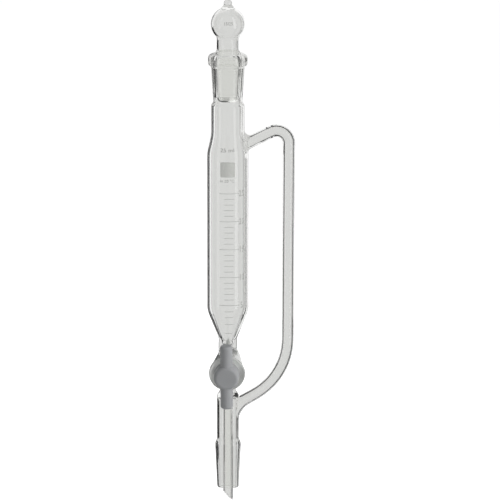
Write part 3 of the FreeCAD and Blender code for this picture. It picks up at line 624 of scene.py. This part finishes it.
def arm_line():
    """Points along the middle of the equalizing arm, each with the direction to its outer side."""
    places = [Vector(corner) for corner in ARM_CORNERS]
    points = [places[0]]
    for before, corner, after, radius in zip(places, places[1:], places[2:], ARM_BENDS):
        first, second = (before - corner).normalized(), (after - corner).normalized()
        half = math.acos(first.dot(second)) / 2
        centre = corner + (first + second).normalized() * radius / math.sin(half)
        start = corner + first * radius / math.tan(half) - centre
        turn = -(math.pi - 2 * half)
        for step in range(BEND_STEPS + 1):
            points.append(centre + Matrix.Rotation(turn * step / BEND_STEPS, 2) @ start)
    points.append(places[-1])
    sides = []
    for index in range(len(points)):
        run = points[min(index + 1, len(points) - 1)] - points[max(index - 1, 0)]
        sides.append(Vector((-run.y, run.x)).normalized())
    return list(zip(points, sides))


def ribbon(near, far):
    """Panels that follow the arm, from one distance off its middle to another."""
    drop = Vector((0, DROP_FOR_VIEW))
    rows = [[point + side * off - drop for off in (near, far)] for point, side in arm_line()]
    return [(first[0], first[1], second[1], second[0]) for first, second in zip(rows, rows[1:])]


BEHIND_ARM = 4
FAR_BEHIND = 60
black_card("arm_outer_card", ribbon(5.4, 15.0), BEHIND_ARM, 0.0)
black_card("arm_inner_card", ribbon(-6.2, -14.5), BEHIND_ARM, 0.0)
black_card("tube_card", rectangle(10, 19, -1, 14), 7, 0.05)
black_card("collar_card", rectangle(-42, -9.5, 217, 234), 12.5, 0.0)
black_card("collar_right_card", rectangle(19, 40, 212, 234), 12.5, 0.20)
black_card("reservoir_card", rectangle(16.6, 21, 64, 166), 8, 0.0)
black_card("left_card", rectangle(-60, 2, -70, 226), FAR_BEHIND, 0.0)
black_card("right_card", rectangle(46, 62, 20, 62), FAR_BEHIND, 0.05)
black_card("low_line_card", rectangle(44, 60, -70, 20), FAR_BEHIND, 0.10)
black_card("high_line_card", rectangle(44, 60, 165, 290), FAR_BEHIND, 0.20)
black_card("low_right_card", rectangle(8, 42, -70, -10), FAR_BEHIND, 0.15)
black_card("middle_right_card", rectangle(60, 90, -15, 18), FAR_BEHIND, 0.05)
black_card("upper_right_card", rectangle(92, 118, 175, 215), FAR_BEHIND, 0.10)
black_card("far_right_card", rectangle(118, 320, -70, 290), FAR_BEHIND, 0.05)
black_card("upper_left_card", rectangle(-130, -60, 184, 221), FAR_BEHIND + 0.5, 0.0)
black_card("low_left_card", rectangle(-106, -60, -26, 16), FAR_BEHIND, 0.0)
black_card("joint_left_card", rectangle(-106, -90, -70, -26), FAR_BEHIND, 0.0)
black_card("joint_card", rectangle(-2, 12, -70, -10), FAR_BEHIND, 0.0)
black_card("ball_card", rectangle(-52, -2, 226, 262), FAR_BEHIND, 0.30)

# Lamps and camera
# Two soft strips in front, which the glass and the stopcock reflect, a large key from the right and a fill
# from behind. The camera is far away, a little above the funnel and a little to its right.


def lamp(name, place_at, aim_at, width, height, power, reflected):
    """A soft rectangular lamp that only shows as a reflection, where that is asked for."""
    data = bpy.data.lights.new(name, "AREA")
    data.shape = "RECTANGLE"
    data.size = width
    data.size_y = height
    data.energy = power
    holder = bpy.data.objects.new(name, data)
    bpy.context.scene.collection.objects.link(holder)
    holder.location = place_at
    holder.rotation_euler = (Vector(aim_at) - Vector(place_at)).to_track_quat("-Z", "Y").to_euler()
    holder.visible_camera = False
    holder.visible_transmission = False
    holder.visible_glossy = reflected


STRIP_ANGLE = math.radians(52)
STRIP_HEIGHT = 0.6
for name, way, power in (("left_strip", -1, 2.2), ("right_strip", 1, 3.6)):
    spot = (way * math.sin(STRIP_ANGLE), -math.cos(STRIP_ANGLE), STRIP_HEIGHT)
    lamp(name, spot, (0, 0, STRIP_HEIGHT), 0.32, 1.58, power, True)
lamp("key", (1.6, -0.6, 0.7), (0, 0, 0.1), 0.9, 1.2, 20, False)
lamp("back_fill", (-0.7, 1.5, 0.6), (0, 0, 0.05), 0.9, 1.2, 9, False)

AIM = Vector((0.0128, 0, 0.1139))
AZIMUTH = math.radians(2.5)
ELEVATION = math.radians(10.5)
DISTANCE = 10
SHOWN_WIDTH = 0.29
SENSOR = 36
camera_data = bpy.data.cameras.new("camera")
camera_data.sensor_width = SENSOR
camera_data.lens = SENSOR * DISTANCE / SHOWN_WIDTH
camera = bpy.data.objects.new("camera", camera_data)
bpy.context.scene.collection.objects.link(camera)
level = Vector((math.sin(AZIMUTH), -math.cos(AZIMUTH), 0)) * math.cos(ELEVATION)
back = level + Vector((0, 0, math.sin(ELEVATION)))
camera.location = AIM + back * DISTANCE
camera.rotation_euler = (-back).to_track_quat("-Z", "Y").to_euler()
bpy.context.scene.camera = camera
bpy.context.scene.view_settings.view_transform = "Standard"
